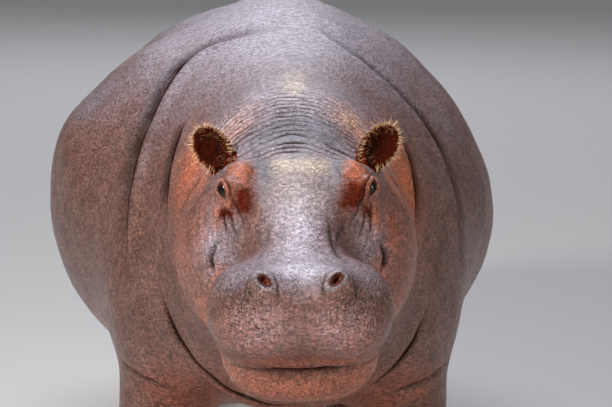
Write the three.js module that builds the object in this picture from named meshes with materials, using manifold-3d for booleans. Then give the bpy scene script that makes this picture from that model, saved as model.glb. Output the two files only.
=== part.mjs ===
// A standing hippopotamus at life size, in millimetres, +Z up. It faces -Y and its left side is +X.
// The flesh is a set of rounded masses that melt into each other. Rings of rays cast from the body's axis
// find the surface of those masses, and a loft through the rings is the solid.

import * as THREE from "three";
import { LoftGeometry } from "three/addons/geometries/LoftGeometry.js";
import { mergeVertices } from "three/addons/utils/BufferGeometryUtils.js";
import Module from "manifold-3d";

const wasm = await Module();
wasm.setup();

// Driving dimensions
const backHeight = 1440;
const bellyClearance = 400;
const barrelWidth = 1200;
const noseToRump = 3330;
const headLength = 700;
const headDip = THREE.MathUtils.degToRad(21); // nose down
const headTurn = THREE.MathUtils.degToRad(0.8); // towards its right side
const headTilt = THREE.MathUtils.degToRad(1.8); // its left side held higher
const headAside = 5; // towards its right side
const earLength = 118;
const eyeRadius = 26;
const tailLength = 380;
const footWidth = 256;
const toesPerFoot = 4;
const nailWidth = 54;
const gap = 0.3; // left between solids that touch

// Heights of the joints of the legs, and how thick a leg is there
const elbow = { height: 500, radius: 132 };
const wrist = { height: 220, radius: 106 };
const knee = { height: 500, radius: 146 };
const hock = { height: 290, radius: 112 };
const ankle = { height: 90, radius: 106 };
const legTop = 720; // inside the trunk

// Places along the body, worked out from the driving dimensions
const noseY = -noseToRump / 2;
const frontLegY = noseY + 0.355 * noseToRump;
const hindLegY = noseY + 0.845 * noseToRump;
const barrelY = (frontLegY + hindLegY) / 2;
const barrelHalf = barrelWidth / 2;
const barrelDepth = backHeight - bellyClearance;
const axisZ = bellyClearance + 0.5 * barrelDepth;
const legSpread = 0.53 * barrelHalf;

// ---- Masses: signed distances, negative inside ----

// The lesser of two distances, rounded off where they are within the melt of each other
const smoothUnion = (a, b, melt) => {
  const overlap = Math.max(melt - Math.abs(a - b), 0) / melt;
  return Math.min(a, b) - (overlap * overlap * melt) / 4;
};

// An egg-shaped mass with half-sizes along x, y and z
const egg = (x, y, z, halfX, halfY, halfZ, melt = 90) => ({
  melt,
  distance: (p) => {
    const [u, v, w] = [(p.x - x) / halfX, (p.y - y) / halfY, (p.z - z) / halfZ];
    const k0 = Math.hypot(u, v, w);
    const k1 = Math.hypot(u / halfX, v / halfY, w / halfZ);
    return k1 < 1e-9 ? -Math.min(halfX, halfY, halfZ) : (k0 * (k0 - 1)) / k1;
  },
});

// A limb segment from one joint to the next, with a radius at each
const limb = (from, to, fromRadius, toRadius, melt = 60) => {
  const start = new THREE.Vector3(...from);
  const along = new THREE.Vector3(...to).sub(start);
  const away = new THREE.Vector3();
  return {
    melt,
    distance: (p) => {
      away.subVectors(p, start);
      const t = THREE.MathUtils.clamp(away.dot(along) / along.lengthSq(), 0, 1);
      away.addScaledVector(along, -t);
      return away.length() - THREE.MathUtils.lerp(fromRadius, toRadius, t);
    },
  };
};

// Limb segments end to end through joints given as x, y, z and radius
const chain = (joints, melt) => {
  const segments = joints.slice(1).map((end, i) => {
    const [start, fromRadius] = [joints[i].slice(0, 3), joints[i][3]];
    return limb(start, end.slice(0, 3), fromRadius, end[3]);
  });
  return { melt, distance: (p) => Math.min(...segments.map((segment) => segment.distance(p))) };
};

// The same mass on both sides of the body's middle plane
const paired = (mass) => {
  const folded = new THREE.Vector3();
  return { melt: mass.melt, distance: (p) => mass.distance(folded.set(Math.abs(p.x), p.y, p.z)) };
};

const distanceTo = (masses, p) =>
  masses.reduce((found, mass) => smoothUnion(found, mass.distance(p), mass.melt), 1e6);

// ---- Head: masses in the head's own frame, x sideways, y ahead of the eyes, z above them ----

const drawnHeadLength = 700; // the head length that the numbers below are for
const head = new THREE.Object3D();
head.position.set(-headAside, noseY + 0.62 * headLength, 0.804 * backHeight);
head.rotation.set(-headDip, headTilt, Math.PI - headTurn, "ZXY");
head.scale.setScalar(headLength / drawnHeadLength);
head.updateMatrixWorld(true);
const toHead = head.matrixWorld.clone().invert();
const headPoint = (x, y, z) => new THREE.Vector3(x, y, z).applyMatrix4(head.matrixWorld);

const headMasses = [
  egg(0, -95, -112, 185, 215, 130), // cranium
  egg(0, 30, -78, 128, 160, 84), // forehead
  limb([0, 10, -112], [0, 330, -124], 112, 88, 70), // bridge
  egg(0, 352, -122, 158, 112, 100, 50), // front of the muzzle
  paired(egg(112, 300, -150, 110, 148, 106, 50)), // upper lip pads
  paired(egg(86, 374, -40, 42, 52, 40, 35)), // nostril mounds
  paired(egg(133, -8, -10, 45, 80, 50, 40)), // brows
  paired(egg(164, -62, -138, 68, 150, 102, 60)), // cheekbones
  paired(egg(194, -100, -256, 92, 165, 150, 70)), // jowls
  paired(limb([136, -110, -310], [88, 285, -288], 116, 92)), // lower jaw bones
  egg(0, 300, -292, 160, 122, 86, 50), // chin
  egg(0, 60, -320, 130, 240, 84, 60), // floor of the mouth
].map((mass) => {
  const local = new THREE.Vector3();
  return { melt: mass.melt, distance: (p) => mass.distance(local.copy(p).applyMatrix4(toHead)) };
});

// ---- Neck and trunk: masses in the body's frame ----

const bodyEgg = (x, y, z, width, length, height, melt) =>
  egg(x, y, z, width * barrelHalf, length * noseToRump, height * barrelDepth, melt);

const trunkMasses = [
  bodyEgg(-18, barrelY, axisZ - 52, 0.97, 0.294, 0.455, 200), // belly
  bodyEgg(-18, 0, axisZ - 36, 0.955, 0.177, 0.438, 200), // ribs
  bodyEgg(0, hindLegY - 40, axisZ - 40, 0.86, 0.168, 0.4, 200), // hips
  chain(
    [
      [4, frontLegY - 330, backHeight - 325, 165],
      [14, frontLegY + 20, backHeight - 252, 170],
      [26, frontLegY + 320, backHeight - 212, 172],
      [30, frontLegY + 720, backHeight - 203, 172],
      [22, hindLegY - 450, backHeight - 240, 172],
      [0, hindLegY, backHeight - 322, 170],
    ],
    200,
  ), // ridge of the spine
  bodyEgg(0, frontLegY + 40, axisZ - 30, 0.66, 0.144, 0.42, 160), // chest
  bodyEgg(0, frontLegY - 375, axisZ + 45, 0.465, 0.129, 0.315, 150), // neck
  bodyEgg(0, frontLegY - 190, axisZ - 190, 0.46, 0.087, 0.22, 120), // brisket
  paired(bodyEgg(0.51 * barrelHalf, frontLegY + 30, axisZ - 200, 0.258, 0.072, 0.293, 120)), // shoulders
  paired(bodyEgg(0.49 * barrelHalf, hindLegY - 60, axisZ - 210, 0.35, 0.093, 0.308, 120)), // haunches
];

const flesh = [...trunkMasses, ...headMasses];

// ---- Rings of rays, and the loft through them ----

const rayStep = 14;
const surfacePoint = (masses, from, direction, grow) => {
  const p = new THREE.Vector3();
  const isInside = (t) => distanceTo(masses, p.copy(from).addScaledVector(direction, t)) < grow;
  let near = 0;
  while (near < barrelWidth && isInside(near + rayStep)) near += rayStep;
  let far = near + rayStep;
  for (let i = 0; i < 18; i++) {
    const middle = (near + far) / 2;
    if (isInside(middle)) near = middle;
    else far = middle;
  }
  return from.clone().addScaledVector(direction, near);
};

// A station is a point on the axis, the way the axis runs there, and how far its rays lean along it
const station = (at, along, lean = 0) => ({ at, along, lean });

const upwards = new THREE.Vector3(0, 0, 1);
const forwards = new THREE.Vector3(0, -1, 0);

const wrap = (masses, stations, sides, { grow = 0, up = upwards } = {}) =>
  new LoftGeometry(
    stations.map(({ at, along, lean }) => {
      const across = new THREE.Vector3().crossVectors(up, along).normalize();
      const upward = new THREE.Vector3().crossVectors(along, across).normalize();
      return Array.from({ length: sides }, (_, i) => {
        const turn = (2 * Math.PI * (i + 0.5)) / sides;
        const direction = across.clone().multiplyScalar(Math.cos(turn) * Math.cos(lean));
        direction.addScaledVector(upward, Math.sin(turn) * Math.cos(lean));
        direction.addScaledVector(along, Math.sin(lean));
        return surfacePoint(masses, at, direction, grow);
      });
    }),
    { capStart: true, capEnd: true },
  );

const range = (count, from, to) =>
  Array.from({ length: count }, (_, i) => THREE.MathUtils.lerp(from, to, i / (count - 1)));

// Rays that fan out round a blunt end of the body, from a fixed point
const fan = (count, at, along, sign = 1) =>
  range(count, 0, THREE.MathUtils.degToRad(80)).map((lean) => station(at, along, sign * lean));

// ---- Solids and cuts ----

const solidOf = (geometry, matrix = new THREE.Matrix4()) => {
  const corners = geometry.index ? geometry.toNonIndexed() : geometry;
  const bare = new THREE.BufferGeometry();
  bare.setAttribute("position", corners.getAttribute("position"));
  const merged = mergeVertices(bare.applyMatrix4(matrix), 1e-3);
  const vertProperties = merged.attributes.position.array;
  return new wasm.Manifold(
    new wasm.Mesh({ numProp: 3, vertProperties, triVerts: new Uint32Array(merged.index.array) }),
  );
};

const geometryOf = (solid) => {
  const mesh = solid.getMesh();
  const geometry = new THREE.BufferGeometry();
  geometry.setAttribute("position", new THREE.BufferAttribute(mesh.vertProperties, 3));
  geometry.setIndex(new THREE.BufferAttribute(mesh.triVerts, 1));
  geometry.computeVertexNormals();
  return geometry;
};

const minus = (solid, ...tools) => tools.reduce((left, tool) => left.subtract(tool), solid);

// A ball stretched to half-sizes, then placed
const ball = (half, matrix, across, rows) =>
  solidOf(new THREE.SphereGeometry(1, across, rows).scale(...half), matrix);

const hippopotamus = new THREE.Group();
const add = (name, solid, color, roughness) => {
  const material = new THREE.MeshStandardMaterial({ color, roughness, metalness: 0 });
  const mesh = new THREE.Mesh(geometryOf(solid), material);
  mesh.name = name;
  hippopotamus.add(mesh);
};
const addFlesh = (name, solid) => add(name, solid, 0x7a6462, 0.5);

const sides = [
  { side: 1, suffix: "left" },
  { side: -1, suffix: "right" },
];

// ---- Trunk and neck ----

const bodySides = 28;
const trunkAxis = (y) => new THREE.Vector3(0, y, axisZ);
const neckCut = frontLegY - 190;
const throat = headPoint(0, -215, -160); // on the head's axis, where the neck meets it
const headAlong = headPoint(0, 1, 0).sub(headPoint(0, 0, 0)).normalize();
const throatAlong = forwards.clone().lerp(headAlong, 0.45).normalize();

const trunkStations = [
  ...fan(7, trunkAxis(hindLegY - 60), forwards, -1).reverse(),
  ...range(17, hindLegY - 140, neckCut).map((y) => station(trunkAxis(y), forwards)),
];
const neckStations = range(4, 0, 1).map((t) => {
  const at = trunkAxis(neckCut - gap).lerp(throat, t);
  return station(at, forwards.clone().lerp(throatAlong, t).normalize());
});
const trunk = solidOf(wrap(flesh, trunkStations, bodySides));
const trunkGrown = solidOf(wrap(flesh, trunkStations, bodySides, { grow: gap }));
addFlesh("trunk", trunk);
addFlesh("neck", solidOf(wrap(flesh, neckStations, bodySides)));

// ---- Eyes, nostrils and ears, which are let into the head ----

const headPlace = (x, y, z, rotation = new THREE.Euler()) =>
  new THREE.Matrix4().multiplyMatrices(
    head.matrixWorld,
    new THREE.Matrix4().makeRotationFromEuler(rotation).setPosition(x, y, z),
  );

const eyeBall = (side, radius) => ball([radius, radius, radius], headPlace(-side * 166, 4, 0), 12, 8);
const eyeSockets = sides.map(({ side }) => eyeBall(side, eyeRadius + gap));
const nostrils = sides.map(({ side }) =>
  ball([9, 20, 24], headPlace(-side * 90, 398, -12, new THREE.Euler(0.7, side * 0.5, 0)), 8, 5),
);

// An ear is a deep cup that opens ahead and stands up and out; its root stays against the skull
const earMatrix = (side) => {
  const upEar = new THREE.Vector3(-side * 0.58, -0.48, 0.66).normalize();
  const open = new THREE.Vector3(-side * 0.22, 0.84, 0.49);
  open.addScaledVector(upEar, -open.dot(upEar)).normalize();
  const lean = new THREE.Matrix4().makeBasis(new THREE.Vector3().crossVectors(open, upEar), open, upEar);
  return new THREE.Matrix4().multiplyMatrices(head.matrixWorld, lean.setPosition(-side * 199, -170, 9));
};
const earSolid = (side) => {
  const place = earMatrix(side);
  const hollowPlace = place.clone().multiply(new THREE.Matrix4().makeTranslation(0, 19, 7));
  const cup = ball([0.4, 0.25, 0.56].map((share) => share * earLength), place, 12, 7);
  return cup.subtract(ball([0.3, 0.24, 0.43].map((share) => share * earLength), hollowPlace, 10, 6));
};

// ---- Head and lower jaw, parted along the line of the mouth ----

const headSides = 32;
const headAxis = (y) => headPoint(0, y, -160);
const headStations = [
  ...range(16, 0, 1).map((t) => {
    const along = throatAlong.clone().lerp(headAlong, Math.min(3 * t, 1)).normalize();
    return station(headAxis(-215 + 465 * t).addScaledVector(along, gap * (1 - t)), along);
  }),
  ...fan(8, headAxis(262), headAlong).slice(1),
];
const skull = (grow) => solidOf(wrap(flesh, headStations, headSides, { grow }));

// The side view of everything under the mouth: the lips' edge dips under the pads and climbs to the corner
const underMouth = (shift) => {
  const outline = new THREE.Shape();
  outline.moveTo(95 - shift, -196 + shift);
  const lipEdge = [[190, -238], [300, -268], [400, -252], [540, -205]];
  outline.splineThru(lipEdge.map(([y, z]) => new THREE.Vector2(y - shift, z + shift)));
  outline.lineTo(540, -900);
  outline.lineTo(-60 - shift, -900);
  const block = new THREE.ExtrudeGeometry(outline, { depth: 800, bevelEnabled: false, curveSegments: 3 });
  const [ahead, across] = [new THREE.Vector3(0, 1, 0), new THREE.Vector3(1, 0, 0)];
  const stand = new THREE.Matrix4().makeBasis(ahead, upwards, across).setPosition(-400, 0, 0);
  return solidOf(block, new THREE.Matrix4().multiplyMatrices(head.matrixWorld, stand));
};

const headWhole = minus(skull(0), ...eyeSockets, ...nostrils);
addFlesh("head", headWhole.subtract(underMouth(2 * gap)));
addFlesh("lower_jaw", headWhole.intersect(underMouth(0)));

const skullGrown = skull(gap);
sides.forEach(({ side, suffix }) => addFlesh(`ear_${suffix}`, earSolid(side).subtract(skullGrown)));
sides.forEach(({ side, suffix }) => add(`eye_${suffix}`, eyeBall(side, eyeRadius), 0x1c120c, 0.12));

// ---- Legs, feet and nails ----

// Joints of each leg from the trunk down, as x, y, z and radius; the feet stand a little out of step
const legJoints = {
  front: (x, step) => [
    [0.8 * x, frontLegY + 20, legTop, 0.9 * elbow.radius],
    [0.98 * x, frontLegY + 36, elbow.height, elbow.radius],
    [x, frontLegY + 0.6 * step, wrist.height, wrist.radius],
    [x, frontLegY + step, ankle.height, ankle.radius],
  ],
  hind: (x, step) => [
    [0.86 * x, hindLegY - 40, legTop, 0.92 * knee.radius],
    [0.98 * x, hindLegY - 52, knee.height, knee.radius],
    [x, hindLegY + 30 + 0.7 * step, hock.height, hock.radius],
    [x, hindLegY + step, ankle.height, ankle.radius],
  ],
};
const legPlaces = [
  { name: "front_left", side: 1, joints: legJoints.front(legSpread, -45) },
  { name: "front_right", side: -1, joints: legJoints.front(-legSpread, 40) },
  { name: "hind_left", side: 1, joints: legJoints.hind(legSpread, 50) },
  { name: "hind_right", side: -1, joints: legJoints.hind(-legSpread, -40) },
];

const footHalf = footWidth / 2;
const toeReach = 0.8 * footHalf;
const toeAngles = range(toesPerFoot, -52, 52).map(THREE.MathUtils.degToRad);
const legLevels = [0, 10, 28, 50, 74, 125, 190, 260, 335, 410, 500, 610];
const legSides = 20;

// Where a curve that climbs all the way reaches a height
const pointAtHeight = (curve, z) => {
  let [low, high] = [0, 1];
  for (let i = 0; i < 24; i++) {
    const middle = (low + high) / 2;
    if (curve.getPoint(middle).z < z) low = middle;
    else high = middle;
  }
  return curve.getPoint(high).setZ(z);
};

legPlaces.forEach(({ name, side, joints }) => {
  const [footX, ankleY] = joints[joints.length - 1];
  const footY = ankleY - 26;
  const splay = side * 0.12; // toes point a little outwards
  const toeAt = (angle, reach, z) => {
    const turned = angle + splay;
    return [footX + Math.sin(turned) * reach, footY - Math.cos(turned) * reach * 1.06, z];
  };
  const masses = [
    chain(joints, 50),
    egg(footX, footY + 10, 38, 0.86 * footHalf, 0.92 * footHalf, 66, 50), // pad
    ...toeAngles.map((angle) => egg(...toeAt(angle, toeReach, 27), 33, 34, 35, 12)),
  ];
  const axis = new THREE.CatmullRomCurve3(
    [[footX, footY, 0], [footX, ankleY - 10, ankle.height], ...joints.slice(0, -1).reverse()].map(
      ([x, y, z]) => new THREE.Vector3(x, y, z),
    ),
  );
  const stations = legLevels.map((z) => station(pointAtHeight(axis, z), upwards));
  const leg = solidOf(wrap(masses, stations, legSides, { up: forwards }));

  const nails = toeAngles.map((angle) => {
    const place = new THREE.Matrix4().makeRotationFromEuler(new THREE.Euler(0.3, 0, angle + splay, "ZXY"));
    place.setPosition(...toeAt(angle, toeReach + 20, 28));
    const nail = (grow) => ball([nailWidth / 2 + grow, 20 + grow, 24 + grow], place, 7, 5);
    return { solid: nail(0), socket: nail(gap) };
  });
  addFlesh(`leg_${name}`, minus(leg, trunkGrown, ...nails.map(({ socket }) => socket)));
  nails.forEach(({ solid }, i) => add(`nail_${name}_${i + 1}`, solid, 0x4a3a33, 0.45));
});

// ---- Tail: round at the root, flat-sided at the tip ----

const rumpPoint = surfacePoint(flesh, trunkAxis(hindLegY - 60), new THREE.Vector3(0, 0.97, 0.24), 0);
const tailBends = [
  [0, -0.16, 0.02],
  [0, 0.03, -0.03],
  [0.01, 0.13, -0.2],
  [0.02, 0.17, -0.6],
  [0.02, 0.12, -1],
];
const tailCurve = new THREE.CatmullRomCurve3(
  tailBends.map(([x, y, z]) => new THREE.Vector3(x, y, z).multiplyScalar(tailLength).add(rumpPoint)),
);
const tailTipFrom = 0.88; // where along it the tip starts to round off
const tailSections = range(11, 0, 1).map((t) => {
  const at = tailCurve.getPoint(t);
  const along = tailCurve.getTangent(t);
  const across = new THREE.Vector3(1, 0, 0).addScaledVector(along, -along.x).normalize();
  const upward = new THREE.Vector3().crossVectors(along, across);
  const beyond = Math.max(t - tailTipFrom, 0) / (1.05 * (1 - tailTipFrom));
  const rounding = Math.sqrt(1 - beyond ** 2);
  const taper = Math.min(1.25 * t, 1);
  const halfAcross = THREE.MathUtils.lerp(50, 11, taper) * rounding;
  const halfUpward = THREE.MathUtils.lerp(46, 26, taper) * rounding;
  return range(11, 0, 2 * Math.PI).slice(0, -1).map((turn) => {
    const point = at.clone().addScaledVector(across, Math.cos(turn) * halfAcross);
    return point.addScaledVector(upward, Math.sin(turn) * halfUpward);
  });
});
const tail = solidOf(new LoftGeometry(tailSections, { capStart: true, capEnd: true }));
addFlesh("tail", tail.subtract(trunkGrown));

// The origin is the middle of the floor plan, with the soles at zero
const bounds = new THREE.Box3().setFromObject(hippopotamus);
const middle = bounds.getCenter(new THREE.Vector3());
hippopotamus.position.set(-middle.x, -middle.y, -bounds.min.z);

export default hippopotamus;
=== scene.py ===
import math
import bpy
import bmesh
import numpy as np
from mathutils import Matrix, Vector
from mathutils.bvhtree import BVHTree


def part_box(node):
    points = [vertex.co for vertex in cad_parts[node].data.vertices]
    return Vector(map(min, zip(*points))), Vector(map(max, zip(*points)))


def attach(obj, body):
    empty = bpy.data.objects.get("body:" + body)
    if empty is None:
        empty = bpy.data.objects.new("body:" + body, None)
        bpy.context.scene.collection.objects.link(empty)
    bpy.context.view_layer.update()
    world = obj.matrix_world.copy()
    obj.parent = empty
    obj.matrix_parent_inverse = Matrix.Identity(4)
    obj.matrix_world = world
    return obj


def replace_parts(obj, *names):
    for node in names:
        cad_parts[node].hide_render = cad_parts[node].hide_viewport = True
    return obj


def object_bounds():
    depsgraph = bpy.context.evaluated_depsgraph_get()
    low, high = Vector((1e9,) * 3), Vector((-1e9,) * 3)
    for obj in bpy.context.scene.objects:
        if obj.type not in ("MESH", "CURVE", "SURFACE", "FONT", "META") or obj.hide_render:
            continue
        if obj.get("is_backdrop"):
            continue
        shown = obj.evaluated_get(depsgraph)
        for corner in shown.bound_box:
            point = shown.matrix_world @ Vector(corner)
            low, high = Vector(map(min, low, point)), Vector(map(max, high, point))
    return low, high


# A life-size hippopotamus. One skin is remeshed over the frame's flesh nodes, eased smooth and then
# sculpted with folds, lids, nostrils and a mouth. Units are metres.

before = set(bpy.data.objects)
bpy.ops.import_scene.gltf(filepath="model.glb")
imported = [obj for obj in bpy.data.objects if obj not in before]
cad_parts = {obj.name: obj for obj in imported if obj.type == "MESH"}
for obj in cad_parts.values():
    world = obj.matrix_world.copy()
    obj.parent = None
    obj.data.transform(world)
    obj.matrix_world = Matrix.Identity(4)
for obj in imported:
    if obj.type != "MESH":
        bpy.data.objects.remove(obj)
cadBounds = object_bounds()
random = np.random.default_rng(11)


def boxOf(node):
    low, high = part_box(node)
    return np.array(low[:]), np.array(high[:])


def centreOf(node):
    low, high = boxOf(node)
    return (low + high) / 2


def unit(vector):
    vector = np.asarray(vector, float)
    return vector / np.linalg.norm(vector)


def smoothStep(low, high, value):
    share = np.clip((value - low) / (high - low), 0, 1)
    return share * share * (3 - 2 * share)


def fadeOut(low, high, value):
    return 1 - smoothStep(low, high, value)


def lengths(rows):
    return np.linalg.norm(rows, axis=1)


def bell(value, width):
    return np.exp(-((value / width) ** 2))


def mound(places, centre, sizes):  # a bell in all three directions
    return np.exp(-(((places - centre) / sizes) ** 2).sum(1))


skull = {
    "dip": math.radians(21),  # nose down
    "eyeAhead": 0.004,        # the eyes stand this far ahead of the skull's own origin
}
eyeLeft, eyeRight = centreOf("eye_left"), centreOf("eye_right")
eyeRadius = (boxOf("eye_left")[1] - boxOf("eye_left")[0])[2] / 2
skyward = np.array([0.0, 0.0, 1.0])
toLeft = unit(eyeLeft - eyeRight)
levelLeft = unit([toLeft[0], toLeft[1], 0])
askew = math.asin(toLeft[2] * math.tan(skull["dip"]) / np.hypot(*toLeft[:2]))  # it also leans sideways
levelAhead = np.array([levelLeft[1], -levelLeft[0], 0]) * math.cos(askew) + levelLeft * math.sin(askew)
toNose = levelAhead * math.cos(skull["dip"]) - skyward * math.sin(skull["dip"])
toCrown = np.cross(toNose, toLeft)
skullOrigin = (eyeLeft + eyeRight) / 2 - toNose * skull["eyeAhead"]
skullAxes = np.array([toLeft, toNose, toCrown])
eyeSpread = (eyeLeft - skullOrigin) @ toLeft  # how far each eye is from the middle


def inHead(points):  # x to its left, y towards the nose, z towards the crown
    return (np.asarray(points) - skullOrigin) @ skullAxes.T


def fromHead(x, y, z):
    return skullOrigin + np.array([x, y, z]) @ skullAxes


def noiseAt(points, size, seed=0):  # smooth lumps of about that size, from -1 to 1
    cell = np.asarray(points) / size
    low = np.floor(cell).astype(np.int64)
    share = cell - low
    share = share * share * (3 - 2 * share)
    total = np.zeros(len(cell))
    for corner in range(8):
        offset = np.array([corner & 1, corner >> 1 & 1, corner >> 2 & 1])
        key = ((low + offset + 5000) * np.array([73856093, 19349663, 83492791])).sum(1) + seed * 977
        key = (key ^ (key >> 13)) * 1274126177 & 0xFFFFFFFF
        value = ((key ^ (key >> 16)) & 0xFFFF) / 32767.5 - 1
        total += value * np.where(offset, share, 1 - share).prod(1)
    return total


# the camera looks down at the head and over the back, with a long lens

camera = {
    "place": (-0.3282, -9.1995, 2.553),
    "heading": math.radians(2.618),  # towards the animal's left side
    "pitch": math.radians(10.24),
    "roll": math.radians(1),
    "lens": 199.9,
}


def makeCamera():
    data = bpy.data.cameras.new("camera")
    data.lens = camera["lens"]
    data.sensor_width = 36
    data.clip_end = 60
    heading, pitch = camera["heading"], camera["pitch"]
    back = -np.array([math.sin(heading), math.cos(heading), 0]) * math.cos(pitch)
    back += skyward * math.sin(pitch)
    right = unit(np.cross(skyward, back))
    up = np.cross(back, right)
    lean, level = math.sin(camera["roll"]), math.cos(camera["roll"])
    right, up = right * level + up * lean, up * level - right * lean
    aim = Matrix(np.array([right, up, back]).T.tolist()).to_4x4()
    item = bpy.data.objects.new("camera", data)
    item.matrix_world = Matrix.Translation(camera["place"]) @ aim
    bpy.context.collection.objects.link(item)
    bpy.context.scene.camera = item


makeCamera()
print("camera")

# the skin starts as one closed mesh over all the flesh
skinSizes = {
    "voxel": 0.006,
    "trunk": 0.055,  # how wide the easing reaches on each part
    "neck": 0.04,
    "head": 0.014,
    "legs": 0.02,
    "feet": 0.007,
    "tail": 0.006,
    "ears": 0.005,
}
fleshNodes = [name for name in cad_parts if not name.startswith(("eye_", "nail_"))]
eyeNodes = ["eye_left", "eye_right"]
nailNodes = [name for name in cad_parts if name.startswith("nail_")]


def meshFrom(name, points, quads, others):
    mesh = bpy.data.meshes.new(name)
    loops = np.concatenate([quads.ravel(), *[np.array(face) for face in others]]).astype(np.int32)
    sizes = np.concatenate([np.full(len(quads), 4), [len(face) for face in others]]).astype(np.int32)
    mesh.vertices.add(len(points))
    mesh.vertices.foreach_set("co", points.astype(np.float32).ravel())
    mesh.loops.add(len(loops))
    mesh.loops.foreach_set("vertex_index", loops)
    mesh.polygons.add(len(sizes))
    mesh.polygons.foreach_set("loop_start", np.concatenate([[0], np.cumsum(sizes)[:-1]]).astype(np.int32))
    smoothShaded(mesh)
    mesh.update(calc_edges=True)
    return mesh


def smoothShaded(mesh):
    mesh.polygons.foreach_set("use_smooth", np.ones(len(mesh.polygons), bool))


def meshOf(name, shape):
    mesh = bpy.data.meshes.new(name)
    shape.to_mesh(mesh)
    shape.free()
    return mesh


def addLayer(mesh, name, values):  # a value at each point, which the materials read
    layer = mesh.attributes.new(name, "FLOAT", "POINT")
    layer.data.foreach_set("value", values.astype(np.float32))


def cornersOf(mesh):  # the point at each corner of its faces
    corners = np.empty(len(mesh.loops), np.int32)
    mesh.loops.foreach_get("vertex_index", corners)
    return corners


def pointsOf(mesh):
    flat = np.empty(len(mesh.vertices) * 3, np.float32)
    mesh.vertices.foreach_get("co", flat)
    return flat.reshape(-1, 3).astype(float)


def normalsOf(points, quads, others):
    mesh = meshFrom("forNormals", points, quads, others)
    flat = np.empty(len(points) * 3, np.float32)
    mesh.vertex_normals.foreach_get("vector", flat)
    bpy.data.meshes.remove(mesh)
    return flat.reshape(-1, 3).astype(float)


def placed(name, mesh, material=None):  # a new object in the scene
    item = bpy.data.objects.new(name, mesh)
    bpy.context.collection.objects.link(item)
    if material:
        mesh.materials.append(material)
    return item


def finishedMesh(item):  # the mesh that its modifiers give
    return bpy.data.meshes.new_from_object(item.evaluated_get(bpy.context.evaluated_depsgraph_get()))


def roughSkin():
    joined = bmesh.new()
    for name in fleshNodes + eyeNodes:
        joined.from_mesh(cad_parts[name].data)
    item = placed("rough", meshOf("rough", joined))
    remesh = item.modifiers.new("even", "REMESH")
    remesh.mode = "VOXEL"
    remesh.voxel_size = skinSizes["voxel"]
    even = finishedMesh(item)
    bpy.data.objects.remove(item)
    points, quads = pointsOf(even), cornersOf(even).reshape(-1, 4)
    bpy.data.meshes.remove(even)
    return points, quads


def eased(points, quads, others, reach, spacing):  # reach is how wide the easing is at each point
    passes = 4 * (reach / spacing) ** 2
    most = int(passes.max())
    item = placed("easing", meshFrom("easing", points, quads, others))
    group = item.vertex_groups.new(name="ease")
    steps = 80  # how finely the strength is graded
    level = np.round((passes / most) ** 0.5 * steps).astype(int)
    order = np.argsort(level, kind="stable")
    edges = np.searchsorted(level[order], np.arange(steps + 2))
    for step in range(1, steps + 1):
        chosen = order[edges[step]:edges[step + 1]]
        if len(chosen):
            group.add(chosen.tolist(), (step / steps) ** 2, "REPLACE")
    smooth = item.modifiers.new("ease", "SMOOTH")
    smooth.factor = 1
    smooth.iterations = most
    smooth.vertex_group = "ease"
    result = finishedMesh(item)
    found = pointsOf(result)
    bpy.data.objects.remove(item)
    bpy.data.meshes.remove(result)
    return found


def refined(points, quads, others, wanted):  # faces with all corners wanted are split into four
    count = len(points)
    inside = wanted[quads].all(1)
    split, kept = quads[inside], quads[~inside]
    ends = np.sort(np.stack([split, np.roll(split, -1, 1)], 2), 2).astype(np.int64)
    keys, place = np.unique(ends[..., 0] * count + ends[..., 1], return_inverse=True)
    middles = count + place.reshape(-1, 4)
    centres = count + len(keys) + np.arange(len(split))
    newPoints = np.concatenate([
        points,
        (points[keys // count] + points[keys % count]) / 2,
        points[split].mean(1),
    ])
    quarters = [
        np.stack([split[:, k], middles[:, k], centres, middles[:, k - 1]], 1) for k in range(4)
    ]
    ends = np.sort(np.stack([kept, np.roll(kept, -1, 1)], 2), 2).astype(np.int64)
    keptKeys = ends[..., 0] * count + ends[..., 1]
    found = np.searchsorted(keys, keptKeys).clip(0, len(keys) - 1)
    shared = keys[found] == keptKeys
    beside = shared.any(1)
    newOthers = list(others)
    for face, places, isShared in zip(kept[beside], found[beside], shared[beside]):
        corners = []
        for corner, at, has in zip(face, places, isShared):
            corners += [int(corner), int(count + at)] if has else [int(corner)]
        newOthers.append(corners)
    return newPoints, np.concatenate([kept[~beside], *quarters]), newOthers


def inBox(points, node, margin):
    low, high = boxOf(node)
    return ((points > low - margin) & (points < high + margin)).all(1)


def distanceToBox(points, node):
    low, high = boxOf(node)
    return lengths(np.maximum(np.maximum(low - points, points - high), 0))


def easingReach(points):
    head = inHead(points)
    reach = np.full(len(points), skinSizes["trunk"])

    def towards(value, amount):
        reach[:] = reach + (np.minimum(value, reach) - reach) * amount

    towards(skinSizes["neck"], smoothStep(-0.6, -0.3, head[:, 1]))
    towards(skinSizes["head"], smoothStep(-0.3, -0.12, head[:, 1]))
    towards(skinSizes["legs"], fadeOut(0.36, 0.46, points[:, 2]))
    towards(skinSizes["feet"], fadeOut(0.05, 0.14, points[:, 2]))
    towards(skinSizes["tail"], fadeOut(0.0, 0.05, distanceToBox(points, "tail")))
    for side in ("left", "right"):
        towards(skinSizes["ears"], fadeOut(0.0, 0.02, distanceToBox(points, f"ear_{side}")))
    return reach


points, quads = roughSkin()
others = []
print("rough skin", len(points))
floorTouch = points[:, 2] < skinSizes["voxel"] * 0.6
points = eased(points, quads, others, easingReach(points), skinSizes["voxel"])
points[floorTouch, 2] = 0
points[:, 2] = points[:, 2].clip(0)
head = inHead(points)
onHead = (head[:, 1] > -0.2) & (head[:, 2] > -0.44)
onNape = (head[:, 1] > -0.3) & (head[:, 2] > -0.16)
points, quads, others = refined(points, quads, others, onHead | onNape)

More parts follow.
